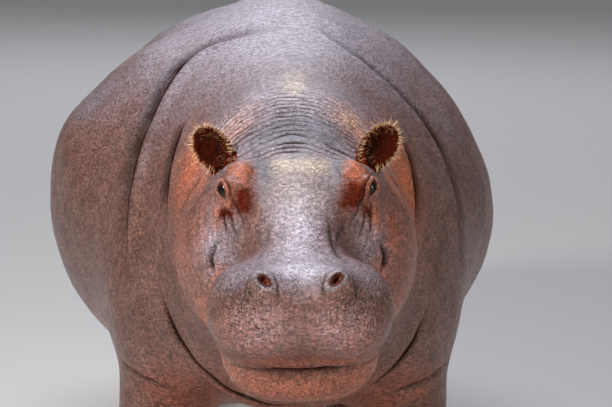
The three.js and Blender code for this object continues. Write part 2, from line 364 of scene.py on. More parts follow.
nostril = {
    "place": (0.081, 0.388, -0.014),  # in the head's measures
    "inward": (-0.15, -0.75, -0.64),
    "along": (0.62, 0.12, 0.77),      # from its lower inner end to its upper outer end
    "length": 0.0155,
    "width": 0.0088,
    "depth": 0.022,
    "rim": 0.003,
}


bothSides = {"left": 1, "right": -1}


def mirrored(place, side):
    return np.array([place[0] * side, place[1], place[2]])


head = inHead(points)
finer = np.zeros(len(points), bool)
for side in (1, -1):
    finer |= lengths(head - [side * eyeSpread, 0, 0]) < 0.062
    finer |= lengths(head - mirrored(nostril["place"], side)) < 0.042
for name in ("ear_left", "ear_right"):
    finer |= inBox(points, name, 0.006)
points, quads, others = refined(points, quads, others, finer)
reach = np.where(inHead(points)[:, 1] > -0.3, skinSizes["voxel"] * 0.5, 0)
onEars = inBox(points, "ear_left", 0.004) | inBox(points, "ear_right", 0.004)
reach[onEars] = 0.0055
points = eased(points, quads, others, reach, skinSizes["voxel"] / 2)
print("finer skin", len(points))

# each mark says how much of a tone lies at each point of the skin. The crease tone is painted shade in folds,
# furrows and hollows, and the lavender tone is a painted sky sheen on the wet skin
markNames = ("crease", "pink", "orange", "russet", "pale", "slate", "lavender", "whiskers")
marks = {name: np.zeros(len(points)) for name in markNames}


def curveThrough(places):  # 48 points along a smooth curve through the places
    places = np.asarray(places, float)
    ends = np.concatenate([[2 * places[0] - places[1]], places, [2 * places[-1] - places[-2]]])
    along = np.linspace(0, len(places) - 1, 48)
    start = along.astype(int).clip(0, len(places) - 2)
    t = (along - start)[:, None]
    a, b, c, d = (ends[start + k] for k in range(4))
    square, cube = 2 * a - 5 * b + 4 * c - d, 3 * b - a - 3 * c + d
    return 0.5 * (2 * b + (c - a) * t + square * t ** 2 + cube * t ** 3)


def nearCurve(route, margin):  # which points are near, how far, how far along, and on which side
    low, high = route.min(0) - margin, route.max(0) + margin
    near = np.flatnonzero(((points > low) & (points < high)).all(1))
    place = points[near]
    spread = ((route[:, None] - place[None, ::3]) ** 2).sum(2)
    route = place[::3][spread.argmin(1)]  # the route is laid on the skin, then evened out
    for _ in range(6):
        route[1:-1] = (route[:-2] + 2 * route[1:-1] + route[2:]) / 4
    best = np.full(len(near), 1e9)
    share = np.zeros(len(near))
    side = np.zeros(len(near))
    for k, (start, end) in enumerate(zip(route[:-1], route[1:])):
        line = end - start
        t = ((place - start) @ line / max(line @ line, 1e-12)).clip(0, 1)
        away = place - start - t[:, None] * line
        gap = lengths(away)
        closer = gap < best
        best[closer] = gap[closer]
        share[closer] = (k + t[closer]) / (len(route) - 1)
        side[closer] = (away[closer] * np.cross(line, normals[near[closer]])).sum(1)
    return near, best, share, np.sign(side)


def addFold(route, depth, width, lip=0.0, lipSide=1, hollow=0.0, fade=0.3, tone=1.0, wander=0.002):
    # a groove along the route, with a soft lip on one side of it and a broad hollow on the other; the groove
    # and the hollow are darkened with painted shade
    near, away, share, side = nearCurve(curveThrough(route), width * (9 if hollow else 5))
    place = points[near]
    signed = (away * side + wander * noiseAt(place, 0.06, 5)) * lipSide
    strength = smoothStep(0, fade, share) * fadeOut(1 - 1.7 * fade, 1, share)
    strength *= 1 + 0.25 * noiseAt(place, 0.05, 9)
    width = width * (0.65 + 0.35 * strength)
    lift[near] -= depth * (0.7 * bell(signed, width) + 0.3 * bell(signed, width * 0.45)) * strength
    lift[near] += lip * bell(signed - 2.1 * width, 1.8 * width) * strength
    lift[near] -= hollow * bell(signed + 2.2 * width, 2 * width) * strength
    shade = bell(signed, width * 0.7) + (0.6 * bell(signed + 1.8 * width, 2.6 * width) if hollow else 0)
    marks["crease"][near] += tone * shade * strength * min(depth / 0.004, 1)


def addHeadFold(route, depth, width, sides=(1, -1), lipSide=1, **more):  # the two sides differ a little
    for side in sides:
        jitter = random.normal(0, 0.0012, (len(route), 3))
        places = [fromHead(x * side, y, z) for x, y, z in np.asarray(route) + jitter]
        addFold(places, depth, width, lipSide=lipSide * side, **more)


def settle():
    global points, normals, lift, head
    points = points + normals * lift[:, None]
    points[:, 2] = points[:, 2].clip(0)
    normals = normalsOf(points, quads, others)
    lift = np.zeros(len(points))
    head = inHead(points)


normals = normalsOf(points, quads, others)
lift = np.zeros(len(points))
head = inHead(points)

bodyFolds = {
    # the depth and width of each fold, the height and side of its lip, its hollow, and its route
    "right shoulder": (0.013, 0.015, 0.009, -1, 0.01, [
        (0.06, -0.31, 1.42), (-0.09, -0.26, 1.39), (-0.2, -0.22, 1.35), (-0.28, -0.3, 1.29),
        (-0.33, -0.43, 1.21), (-0.37, -0.52, 1.1), (-0.39, -0.61, 0.98), (-0.37, -0.67, 0.84),
        (-0.34, -0.68, 0.72)]),
    "left shoulder": (0.009, 0.012, 0.005, 1, 0.007, [
        (0.08, -0.2, 1.43), (0.15, -0.33, 1.385), (0.22, -0.39, 1.34), (0.3, -0.41, 1.275),
        (0.38, -0.41, 1.19), (0.44, -0.43, 1.1), (0.46, -0.49, 0.99), (0.44, -0.57, 0.86),
        (0.41, -0.6, 0.74)]),
    "right neck": (0.006, 0.011, 0.003, -1, 0.005, [
        (-0.24, -0.62, 1.22), (-0.28, -0.69, 1.15), (-0.3, -0.77, 1.07), (-0.29, -0.86, 0.98)]),
    "left neck": (0.006, 0.011, 0.003, 1, 0.005, [
        (0.27, -0.62, 1.22), (0.32, -0.71, 1.13), (0.34, -0.8, 1.04), (0.32, -0.88, 0.95)]),
    "upper chest": (0.009, 0.014, 0.005, 1, 0, [
        (-0.33, -0.8, 0.86), (-0.29, -0.84, 0.7), (-0.18, -0.86, 0.58), (0, -0.86, 0.54),
        (0.18, -0.86, 0.58)]),
    "lower chest": (0.008, 0.014, 0.004, 1, 0, [
        (0.36, -0.74, 0.8), (0.31, -0.76, 0.66), (0.18, -0.77, 0.54), (0, -0.77, 0.5),
        (-0.16, -0.77, 0.53)]),
}
for depth, width, lip, lipSide, hollow, route in bodyFolds.values():
    addFold(route, depth, width, lip, lipSide, hollow, fade=0.28, tone=1.7)

pairedFolds = {  # depth, width and the route on the left side
    "elbow front": (0.007, 0.012, [
        (0.22, -0.6, 0.56), (0.33, -0.66, 0.54), (0.43, -0.6, 0.56), (0.48, -0.48, 0.6)]),
    "elbow back": (0.007, 0.012, [(0.46, -0.36, 0.5), (0.38, -0.3, 0.48), (0.26, -0.3, 0.47)]),
    "flank": (0.01, 0.014, [
        (0.55, 0.62, 0.72), (0.53, 0.78, 0.6), (0.46, 0.88, 0.51), (0.38, 0.93, 0.46)]),
    "thigh back": (0.006, 0.012, [
        (0.2, 1.3, 0.5), (0.32, 1.32, 0.5), (0.42, 1.25, 0.52), (0.47, 1.12, 0.56)]),
    "rump": (0.005, 0.02, [(0.1, 1.62, 1.0), (0.13, 1.6, 0.85), (0.12, 1.52, 0.7), (0.1, 1.4, 0.58)]),
}
for depth, width, route in pairedFolds.values():
    for side in (1, -1):
        places = [(x * side, y, z) for x, y, z in route]
        addFold(places, depth, width, lip=0.003, fade=0.35, tone=0.7, wander=0.006)

legRings = ((0.115, 0.005), (0.15, 0.003), (0.27, 0.003), (0.31, 0.0025))  # height and depth of each
for name in [name for name in fleshNodes if name.startswith("leg_")]:
    low, high = boxOf(name)
    near = inBox(points, name, 0.02)
    middle = (low + high) / 2
    for level, depth in legRings:
        slope = 0.25 if level < 0.2 else -0.15
        gapTo = points[near, 2] - level - slope * (points[near, 1] - middle[1]) * 0.5
        gapTo += 0.008 * noiseAt(points[near], 0.06, 21)
        ring = bell(gapTo, 0.006)
        lift[near] -= depth * ring
        # painted shade in each ring
        marks["crease"][near] += 0.6 * ring

# broad hollows and swellings of the face: centre, half-sizes and height, in the head's measures
faceForms = {
    "brow": ((0.136, -0.04, 0.022), (0.034, 0.06, 0.04), 0.013),
    "dip inside the brow": ((0.088, -0.015, 0.035), (0.022, 0.07, 0.04), -0.008),
    "forehead": ((0.0, -0.03, 0.05), (0.07, 0.06, 0.05), 0.005),
    "hollow ahead of the eye": ((0.134, 0.066, -0.012), (0.03, 0.034, 0.035), -0.007),
    "hollow beside the bridge": ((0.118, 0.145, -0.06), (0.034, 0.065, 0.05), -0.011),
    "bridge": ((0.0, 0.16, 0.0), (0.05, 0.13, 0.05), 0.005),
    "behind the cheek ridge": ((0.225, 0.015, -0.1), (0.035, 0.04, 0.07), -0.006),
    "round the nostril": ((0.084, 0.378, -0.022), (0.03, 0.036, 0.036), 0.008),
    "between the nostrils": ((0.0, 0.4, -0.03), (0.034, 0.06, 0.05), -0.006),
    "whisker pad": ((0.165, 0.33, -0.075), (0.05, 0.06, 0.05), 0.005),
    "jowl": ((0.26, -0.12, -0.2), (0.06, 0.09, 0.12), 0.006),
}
# the same for the shoulders and back, measured from the floor
backForms = {
    "right side": ((-0.56, 0.1, 1.08), (0.16, 0.45, 0.13), 0.022),
    "right of the back": ((-0.36, 0.15, 1.27), (0.12, 0.45, 0.1), 0.012),
    "right loin": ((-0.32, 1.05, 1.2), (0.12, 0.3, 0.1), 0.01),
    "left shoulder": ((0.35, 0.16, 1.31), (0.14, 0.45, 0.12), 0.022),
    "left side": ((0.56, 0.06, 1.07), (0.1, 0.45, 0.09), -0.008),
    "middle of the loin": ((-0.1, 1.02, 1.34), (0.12, 0.3, 0.08), -0.018),
}
for place, sizes, height in backForms.values():
    lift += height * mound(points, place, sizes)
for place, sizes, height in faceForms.values():
    for side in (1, -1) if place[0] else (1,):
        lift += height * mound(head, mirrored(place, side), sizes)
settle()

headFolds = {
    # depth, width, extras and the route
    "cheek ridge": (-0.005, 0.012, {"tone": 0}, [
        (0.18, 0.035, -0.035), (0.19, 0.075, -0.09), (0.19, 0.1, -0.14)]),
    "cheek": (0.011, 0.009, {"lip": 0.004, "tone": 1.2}, [
        (0.196, 0.088, -0.195), (0.212, 0.07, -0.16), (0.208, 0.075, -0.12), (0.195, 0.08, -0.09)]),
    "side of the muzzle": (0.007, 0.014, {"tone": 0.6}, [
        (0.112, 0.215, -0.05), (0.155, 0.21, -0.085), (0.182, 0.19, -0.14), (0.195, 0.14, -0.19)]),
    "inside the nostril": (0.0045, 0.006, {"tone": 0.8, "wander": 0.0005}, [
        (0.056, 0.355, 0.014), (0.049, 0.385, -0.002), (0.05, 0.41, -0.03), (0.056, 0.425, -0.06)]),
    "outside the nostril": (0.004, 0.008, {"tone": 0.5}, [
        (0.118, 0.36, -0.012), (0.128, 0.39, -0.04), (0.122, 0.42, -0.08)]),
    "first under the eye": (0.004, 0.005, {}, [
        (0.172, 0.038, -0.026), (0.176, 0.07, -0.062), (0.172, 0.1, -0.09)]),
    "second under the eye": (0.0035, 0.005, {}, [
        (0.158, 0.045, -0.022), (0.155, 0.085, -0.055), (0.15, 0.12, -0.08)]),
    "third under the eye": (0.003, 0.005, {}, [
        (0.146, 0.042, -0.012), (0.136, 0.085, -0.035), (0.125, 0.115, -0.05)]),
    "behind the jaw": (0.012, 0.016, {"lip": 0.005, "lipSide": -1}, [
        (0.235, -0.2, -0.05), (0.277, -0.21, -0.13), (0.295, -0.215, -0.23), (0.28, -0.22, -0.33),
        (0.2, -0.22, -0.41)]),
    "jowl": (0.003, 0.012, {"tone": 0.3}, [
        (0.2, -0.07, -0.03), (0.235, -0.09, -0.1), (0.25, -0.06, -0.18)]),
    "upper temple": (0.004, 0.006, {}, [
        (0.145, -0.13, 0.006), (0.158, -0.095, 0.004), (0.18, -0.07, -0.014)]),
    "lower temple": (0.004, 0.007, {}, [
        (0.16, -0.15, -0.005), (0.185, -0.13, -0.025), (0.21, -0.14, -0.06)]),
    "chin": (0.003, 0.01, {"tone": 0.4}, [(0.2, 0.2, -0.3), (0.17, 0.33, -0.33), (0.08, 0.39, -0.34)]),
}
for depth, width, extras, route in headFolds.values():
    addHeadFold(route, depth, width, **extras)
bridgeGroove = [(0.058, 0.09, 0.0), (0.08, 0.16, -0.022), (0.101, 0.23, -0.042), (0.12, 0.3, -0.045)]
addHeadFold(bridgeGroove, 0.006, 0.015, (1,), tone=0.75)
addHeadFold(bridgeGroove, 0.004, 0.015, (-1,), tone=0.4)
addHeadFold([(0.122, 0.09, -0.03), (0.11, 0.14, -0.04), (0.102, 0.2, -0.042)], 0.004, 0.009, (1,), tone=0.6)

mouthCorner = [(0.19, 0.085, -0.192), (0.2, 0.15, -0.222), (0.205, 0.22, -0.25), (0.2, 0.3, -0.268),
               (0.17, 0.38, -0.262), (0.1, 0.43, -0.248)]
mouth = [*mouthCorner, (0, 0.45, -0.242), *[(-x, y, z) for x, y, z in mouthCorner[::-1]]]
addFold([fromHead(*place) for place in mouth], 0.011, 0.005, fade=0.02, tone=1.4, wander=0)


def wrinkles(place, size, stretch, seed):  # narrow ridges that run along the last of the three measures
    first = noiseAt(place / np.array([1, 1, stretch]), size, seed)
    second = noiseAt(place / np.array([1, 1, stretch * 0.8]) + 7.3, size * 0.62, seed + 1)
    return 1 - 2.2 * np.abs(0.65 * first + 0.35 * second)


# wrinkles across the nape, which arch back between the ears, with painted shade in the furrows and a painted
# highlight on the ridges between them
arch = head[:, 1] - 1.5 * head[:, 0] ** 2
napeMask = smoothStep(-0.52, -0.36, head[:, 1]) * fadeOut(-0.12, -0.06, head[:, 1])
napeMask *= smoothStep(-0.1, -0.03, head[:, 2]) * fadeOut(0.14, 0.22, np.abs(head[:, 0]))
for spacing, depth, seed in ((0.026, 0.006, 31), (0.0125, 0.0028, 61)):
    phase = arch / spacing + 0.8 * noiseAt(points, 0.1, seed) + 0.35 * noiseAt(points, 0.035, seed + 1)
    furrow = smoothStep(0.5, 1, 1 - np.abs(2 * (phase - np.floor(phase)) - 1)) * napeMask
    furrow *= (0.55 + 0.7 * noiseAt(points, 0.07, seed + 2)).clip(0, 1)
    lift -= depth * furrow
    marks["crease"] += depth / 0.005 * 1.25 * furrow
    marks["lavender"] += 0.3 * (0.35 - furrow).clip(0) / 0.35 * napeMask

# cheek lines that run down and forward from below the eye, with painted shade in their grooves
acrossCheek = head[:, 1] * 0.8 + head[:, 2] * 0.45 + 0.006 * noiseAt(points, 0.05, 35)
downCheek = head[:, 2] * 0.9 - head[:, 1] * 0.4
cheek = wrinkles(np.stack([acrossCheek, np.abs(head[:, 0]) * 0.6, downCheek], 1), 0.011, 6, 36)
cheekMask = smoothStep(0.12, 0.16, np.abs(head[:, 0])) * smoothStep(-0.1, -0.03, head[:, 1])
cheekMask *= fadeOut(0.1, 0.17, head[:, 1]) * fadeOut(-0.05, -0.02, head[:, 2])
cheekMask *= smoothStep(-0.2, -0.12, head[:, 2])
lift += 0.0018 * cheek * cheekMask
marks["crease"] += 0.5 * smoothStep(0.1, 0.7, -cheek) * cheekMask
settle()

# soft lumps of fat and muscle, then small unevenness
onTrunk = fadeOut(-0.5, -0.2, head[:, 1])
lift += (0.006 * noiseAt(points, 0.28, 41) + 0.003 * noiseAt(points, 0.12, 42)) * onTrunk
lift += 0.0009 * noiseAt(points, 0.035, 43) + 0.0004 * noiseAt(points, 0.016, 44)
lift *= 1 - 0.8 * onEars
lift[points[:, 2] < 0.03] = 0
settle()

# the lids are shaped by angles round each eyeball
lids = {
    "gaze": (0.55, 0.73, 0.40),  # outwards, ahead and up, for the left eye
    "tilt": math.radians(-24),    # the front corner is lower than the back one
    "halfWidth": 46,             # degrees round the eyeball
    "upper": 20,
    "lower": 20,
    "thickness": 0.0034,
    "inside": 0.004,             # how far the opened skin sinks behind the eyeball's front
    # rolls and folds: height, degrees from the opening, width
    "edge": [(0.0008, 5, 3)],
    "upperForms": [(0.003, 14, 8), (-0.0045, 28, 5), (0.0045, 44, 12)],
    "lowerForms": [(0.0014, 12, 6), (-0.0012, 22, 4.5), (0.0015, 32, 7), (-0.0016, 44, 4)],
}


def eyeAxes(side):
    gaze = unit(mirrored(lids["gaze"], side))
    forward = unit(np.array([0.0, 1.0, 0.0]) - gaze * gaze[1])
    above = unit(np.cross(forward, gaze)) * side
    above = above * np.sign(above[2])
    corner = forward * math.cos(lids["tilt"]) + above * math.sin(lids["tilt"])
    above = above * math.cos(lids["tilt"]) - forward * math.sin(lids["tilt"])
    return gaze, corner, above


def openLids(side):
    global points
    gaze, corner, above = eyeAxes(side)
    centre = np.array([side * eyeSpread, skull["eyeAhead"], 0])
    away = head - centre
    radius = lengths(away)
    near = np.flatnonzero(radius < 0.06)
    away, radius = away[near], radius[near]
    direction = away / radius[:, None]
    ahead = direction @ gaze
    u = np.degrees(np.arctan2(direction @ corner, ahead))
    w = np.degrees(np.arctan2(direction @ above, np.hypot(ahead, direction @ corner)))
    arch = 1 - (u / lids["halfWidth"]) ** 2
    within = np.minimum(lids["upper"] * arch - w, w + lids["lower"] * arch)
    beyond = np.abs(u) - lids["halfWidth"]
    within = np.where(beyond < 0, within, -np.hypot(beyond, w))
    margin = eyeRadius + lids["thickness"]
    cover = fadeOut(0.032, 0.06, radius)
    wanted = np.maximum(radius, margin)
    upperHalf = smoothStep(-8, 8, w - 0.35 * u)  # the upper roll wraps the back corner
    for share, forms in ((1, "edge"), (upperHalf, "upperForms"), (1 - upperHalf, "lowerForms")):
        for height, outside, width in lids[forms]:
            wanted += height * bell(within + outside, width) * share
    opened = smoothStep(-2.2, 2.2, within)
    wanted = wanted * (1 - opened) + (eyeRadius - lids["inside"]) * opened
    onFront = smoothStep(0.02, 0.35, ahead)
    change = (wanted - radius) * onFront * cover
    points[near] += (direction * change[:, None]) @ skullAxes
    # painted shade in the lid folds and along the opening
    folds = bell(within + 28, 4) * upperHalf + 0.3 * bell(within + 22, 3.5) * (1 - upperHalf)
    folds = folds + bell(within, 2.5)
    marks["crease"][near] += 0.9 * folds * onFront
    marks["pink"][near] += 0.6 * bell(within + 15, 12) * onFront


for side in (1, -1):
    openLids(side)
eyeGap = np.minimum(*(lengths(head - [side * eyeSpread, 0, 0]) for side in (1, -1)))
reach = 0.0022 * fadeOut(0.045, 0.06, eyeGap)
points = eased(points, quads, others, reach, skinSizes["voxel"] / 4)
normals = normalsOf(points, quads, others)
head = inHead(points)
print("lids")

# the nostrils are pits with a soft rim, closed at the bottom
for side in (1, -1):
    inward, along = unit(mirrored(nostril["inward"], side)), mirrored(nostril["along"], side)
    along = unit(along - inward * (along @ inward))
    across = np.cross(inward, along)
    away = head - mirrored(nostril["place"], side)
    a, b = away @ along / nostril["length"], away @ across / nostril["width"]
    ring = np.sqrt(a ** 2 + b ** 2)
    near = lengths(away) < 0.04
    pit = fadeOut(0.35, 1.25, ring) * near
    points += (pit * nostril["depth"])[:, None] * (inward @ skullAxes)
    rim = bell(ring - 1.7, 0.5) * near
    points += (rim * nostril["rim"])[:, None] * normals
    marks["russet"] += 0.8 * fadeOut(0.0, 0.5, ring) * near
    marks["pink"] += 0.9 * fadeOut(0.9, 1.3, ring) * near
    marks["russet"] += 0.45 * fadeOut(0.9, 1.4, ring) * near
    # painted shade round the pit's edge, and a painted sheen on its rim
    marks["crease"] += 0.9 * bell(ring - 1.15, 0.25) * near
    marks["lavender"] += 0.5 * bell(ring - 1.9, 0.4) * near

lowCorner, highCorner = np.array(cadBounds[0][:]), np.array(cadBounds[1][:])
points = points.clip(lowCorner + 1e-4, highCorner - 1e-4)
points[floorTouch.nonzero()[0], 2] = 0
head = inHead(points)
print("nostrils")

ragged = [noiseAt(points, 0.045, seed) + 0.5 * noiseAt(points, 0.018, seed + 1) for seed in (71, 73, 75)]
ragged = 0.015 * np.stack(ragged, 1)  # uneven edges for the spots of tone


def add(name, amount, value):
    marks[name] = np.maximum(marks[name], amount * value)


def dab(name, amount, middle, size, sides=(1, -1)):  # a soft spot on the head, on one side or both
    for side in sides:
        add(name, amount, mound(head + ragged, mirrored(middle, side), size))


ear = {
    "place": (0.199, -0.17, 0.009),
    "up": (0.58, -0.48, 0.66),
    "open": (0.22, 0.84, 0.49),
    "hollow": (0.0354, 0.0283, 0.0507),   # half-sizes of the hollow
    "hollowAt": (0, 0.019, 0.007),
    "folds": ((-0.012, 0.006), (0.012, 0.004)),  # soft upright folds: place across, and height
}


def earMeasures(side, place):  # across, out of the opening and up the ear, from the hollow's middle
    up = unit(mirrored(ear["up"], side))
    opening = mirrored(ear["open"], side)
    opening = unit(opening - up * (opening @ up))
    axes = np.array([np.cross(opening, up), opening, up])
    return (place - mirrored(ear["place"], side)) @ axes.T - ear["hollowAt"], axes


# every lavender spot is a painted sky sheen on the wet skin
hideSpots = {
    # tone, strength, middle and half-sizes in the head's measures, and the side where it is on only one
    "brow": [
        ("pink", 1.3, (0.137, -0.03, 0.022), (0.034, 0.07, 0.04)),
        ("orange", 0.35, (0.137, -0.03, 0.022), (0.034, 0.07, 0.04)),
        ("russet", 0.22, (0.137, -0.03, 0.022), (0.035, 0.08, 0.04)),
        ("russet", 0.6, (0.118, -0.01, 0.022), (0.012, 0.05, 0.025)),
    ],
    "inside the brow": [("slate", 1.25, (0.088, -0.04, 0.03), (0.022, 0.08, 0.05))],
    "forehead": [
        ("pale", 1.0, (0.035, -0.035, 0.045), (0.055, 0.04, 0.04)),
        ("pale", 0.3, (0.0, 0.05, 0.03), (0.075, 0.09, 0.06)),
    ],
    "hollow ahead of the eye": [("russet", 1.35, (0.127, 0.056, 0.006), (0.03, 0.048, 0.036))],
    "under the eye": [
        ("russet", 1.2, (0.168, 0.048, -0.037), (0.016, 0.022, 0.018)),
        ("pink", 0.85, (0.182, 0.045, -0.05), (0.022, 0.04, 0.04)),
    ],
    # the lavender here is a painted sheen, stronger on the right; the extra orange on the left is painted warm
    # light
    "cheek": [
        ("pink", 0.3, (0.23, 0.0, -0.13), (0.05, 0.08, 0.1)),
        ("pink", 0.35, (0.14, 0.2, -0.12), (0.04, 0.07, 0.07)),
        ("slate", 0.35, (0.15, 0.13, -0.09), (0.05, 0.07, 0.07)),
        ("lavender", 0.85, (0.19, 0.06, -0.12), (0.05, 0.07, 0.08), -1),
        ("lavender", 0.5, (0.18, 0.08, -0.12), (0.05, 0.07, 0.08), 1),
        ("orange", 0.4, (0.225, 0.02, -0.15), (0.02, 0.04, 0.1), 1),
    ],
    "corner of the mouth": [("pink", 1.1, (0.2, 0.13, -0.19), (0.035, 0.06, 0.05))],
    "jowl": [("pink", 0.6, (0.27, -0.1, -0.26), (0.08, 0.12, 0.12))],
    # the skin's own pink, with extra pink and pale on the left side that are painted warm light
    "behind the ears": [
        ("lavender", 1.2, (0.155, -0.33, 0.0), (0.07, 0.11, 0.06)),
        ("pink", 0.75, (0.155, -0.32, 0.0), (0.06, 0.1, 0.06)),
        ("pink", 1.3, (0.155, -0.32, 0.0), (0.06, 0.1, 0.06), 1),
        ("pale", 0.85, (0.15, -0.34, 0.0), (0.06, 0.08, 0.05), 1),
        ("pale", 0.35, (0.15, -0.34, 0.0), (0.06, 0.08, 0.05), -1),
    ],
    # the skin's own red on both sides, and more orange on the left side, where painted warm light falls
    "side of the neck": [
        ("orange", 1.0, (0.275, -0.38, -0.18), (0.075, 0.16, 0.19), 1),
        ("orange", 0.95, (0.235, -0.17, -0.07), (0.04, 0.06, 0.07), 1),
        ("orange", 0.4, (0.25, -0.34, -0.14), (0.05, 0.13, 0.14), -1),
        ("pink", 0.9, (0.25, -0.34, -0.14), (0.05, 0.13, 0.14), -1),
        ("pink", 0.9, (0.235, -0.17, -0.07), (0.04, 0.06, 0.07), -1),
    ],
    "nape": [
        ("slate", 1.1, (0.0, -0.2, 0.03), (0.16, 0.1, 0.07)),
        ("pale", 0.95, (0.0, -0.5, 0.0), (0.03, 0.09, 0.06)),
    ],
    "bridge": [
        ("lavender", 1.0, (0.0, 0.2, 0.0), (0.07, 0.13, 0.06)),
        ("lavender", 0.9, (0.0, 0.34, -0.02), (0.1, 0.05, 0.05)),
    ],
    "muzzle": [
        ("lavender", 0.5, (0.09, 0.44, -0.12), (0.08, 0.06, 0.06)),
        ("pink", 0.45, (0.1, 0.44, -0.14), (0.12, 0.06, 0.08)),
        ("whiskers", 1, (0.13, 0.38, -0.07), (0.09, 0.09, 0.08)),
    ],
    "lips": [("pink", 0.8, (0.0, 0.44, -0.215), (0.3, 0.1, 0.022))],
}
for places in hideSpots.values():
    for tone, strength, middle, size, *side in places:
        dab(tone, strength, middle, size, side or (1, -1))
# a painted sky sheen along the top of the back
along = smoothStep(-0.75, -0.4, points[:, 1]) * fadeOut(0.9, 1.5, points[:, 1])
add("lavender", 0.4, along * bell(points[:, 0] + 0.05, 0.28) * smoothStep(1.2, 1.36, points[:, 2]))
lowDown = fadeOut(0.45, 0.75, points[:, 2])
add("pink", 0.55, lowDown * smoothStep(0.1, 0.7, -normals[:, 2]))  # belly, chest and throat
add("pink", 0.4, fadeOut(0.02, 0.12, points[:, 2]))  # toes
chinDown = fadeOut(-0.3, -0.22, head[:, 2]) * smoothStep(-0.05, 0.1, head[:, 1])
add("pink", 0.7, chinDown)
lining = np.zeros(len(points))  # the dry skin inside the ears and nostrils
for name, side in bothSides.items():
    measures, axes = earMeasures(side, head)
    depth = lengths(measures / ear["hollow"])
    facing = normals @ (axes[1] @ skullAxes)
    inFront = np.maximum(fadeOut(1.1, 1.3, depth), smoothStep(0.0, 0.4, facing) * (depth < 1.9))
    inFront *= inBox(points, f"ear_{name}", 0.004)
    lining = np.maximum(lining, inFront)
    for other in ("slate", "pale", "lavender"):
        marks[other] *= 1 - inFront
    add("russet", 1.5, inFront)
    add("orange", 0.5, inBox(points, f"ear_{name}", 0.006) * (1 - inFront))
    # painted shade in the ear's hollow, darker deeper in
    deep = fadeOut(-0.95, 0.7, measures[:, 1] / ear["hollow"][1])
    hollow = fadeOut(1.0, 1.25, depth) * inBox(points, f"ear_{name}", 0.004)
    marks["crease"] += (0.1 + 0.75 * deep) * hollow
    across = measures[:, 0] * side
    for middle, height in ear["folds"]:
        fold = bell(across - middle - 0.25 * measures[:, 2], 0.0045) * fadeOut(0.75, 1.05, depth)
        points += (height * fold * inFront)[:, None] * (axes[1] @ skullAxes)
        # less painted shade on the folds' ridges
        marks["crease"] -= 0.4 * fold * inFront
marks["crease"] = marks["crease"].clip(0, 1.2)
marks["face"] = smoothStep(-0.25, -0.05, head[:, 1])
print("markings")

skin = placed("skin", meshFrom("skin", points, quads, others))
for name, values in marks.items():
    addLayer(skin.data, name, values.clip(0, 1.5))
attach(skin, "root")
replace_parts(skin, *fleshNodes)


def newMaterial(name, **settings):
    material = bpy.data.materials.new(name)
    material.use_nodes = True
    shader = material.node_tree.nodes["Principled BSDF"]
    drive(material.node_tree, shader, **settings)
    return material, material.node_tree, shader


def plug(tree, socket, value):
    if isinstance(value, bpy.types.NodeSocket):
        tree.links.new(value, socket)
    else:
        socket.default_value = value


def drive(tree, shader, **settings):  # the shader's own sockets, by name
    for name, value in settings.items():
        plug(tree, shader.inputs[name.replace("_", " ")], value)


def node(tree, kind, inputs=None, **settings):
    made = tree.nodes.new("ShaderNode" + kind)
    for name, value in settings.items():
        setattr(made, name, value)
    for name, value in (inputs or {}).items():
        plug(tree, made.inputs[name], value)
    return made


def calc(tree, operation, a, b, clamp=False):
    return node(tree, "Math", {0: a, 1: b}, operation=operation, use_clamp=clamp).outputs[0]


def times(tree, a, b, clamp=False):
    return calc(tree, "MULTIPLY", a, b, clamp)


def between(tree, value, low, high, outLow=0.0, outHigh=1.0):
    ends = {"From Min": low, "From Max": high, "To Min": outLow, "To Max": outHigh}
    made = node(tree, "MapRange", {"Value": value, **ends}, interpolation_type="SMOOTHSTEP")
    return made.outputs["Result"]


def blend(tree, share, a, b):
    return node(tree, "Mix", {"Factor": share, 6: a, 7: b}, data_type="RGBA").outputs[2]


def objectPlace(tree):
    return node(tree, "TexCoord").outputs["Object"]


def scaled(tree, colour, share):
    return node(tree, "VectorMath", {0: colour, "Scale": share}, operation="SCALE").outputs[0]


def bump(tree, strength, distance, height):
    inputs = {"Strength": strength, "Distance": distance, "Height": height}
    return node(tree, "Bump", inputs).outputs["Normal"]


def marked(tree, name):
    return node(tree, "Attribute", attribute_name=name).outputs["Fac"]


def grain(tree, place, scale, detail=3.0, roughness=0.55, distortion=0.0):
    look = {"Detail": detail, "Roughness": roughness, "Distortion": distortion}
    return node(tree, "TexNoise", {"Vector": place, "Scale": scale, **look}).outputs["Fac"]


def stretchedPlace(tree, scale):
    return node(tree, "VectorMath", {0: objectPlace(tree), 1: scale}, operation="MULTIPLY").outputs[0]


skinTones = {
    "flank": (0.100, 0.040, 0.029, 1),
    "flankLight": (0.190, 0.094, 0.073, 1),
    # back is laid where the skin faces up: a painted sky sheen
    "back": (0.165, 0.128, 0.150, 1),
    "slate": (0.085, 0.076, 0.092, 1),
    # lavender is a painted sky sheen on the wet skin
    "lavender": (0.40, 0.365, 0.44, 1),
    "pink": (0.44, 0.14, 0.082, 1),
    "orange": (0.50, 0.115, 0.026, 1),
    "russet": (0.078, 0.009, 0.003, 1),
    "pale": (0.58, 0.47, 0.33, 1),
    # crease is painted shade for folds, furrows and hollows
    "crease": (0.014, 0.005, 0.004, 1),
    "fleck": (0.03, 0.014, 0.011, 1),
}
hideGrain = {
    # how many to the metre, detail, roughness and distortion
    "broad": (4, 3),
    "patchy": (9, 2),
    "cloudy": (16, 4),
    "mottle": (38, 4, 0.6),
    "gloss": (60, 3),
    "sheenBreakup": (70, 4, 0.6),
    "blotches": (110, 3, 0.6, 0.6),
    "ripple": (180, 4, 0.64, 0.4),
    "streaky": (190, 4, 0.65),
    "drops": (210, 2, 0.5),
    "freckles": (230, 2, 0.5),
    "fine": (420, 3, 0.6),
}
hideStretch = {
    "ripple": (0.45, 0.45, 1),
    "streaky": (1, 1, 0.3),
    "sheenBreakup": (0.7, 0.7, 1),
    "cracks": (0.6, 0.6, 1),
}
hideCells = {"cracks": 130, "follicles": 150}
hideBump = {"strength": 0.8, "drops": 0.0024}
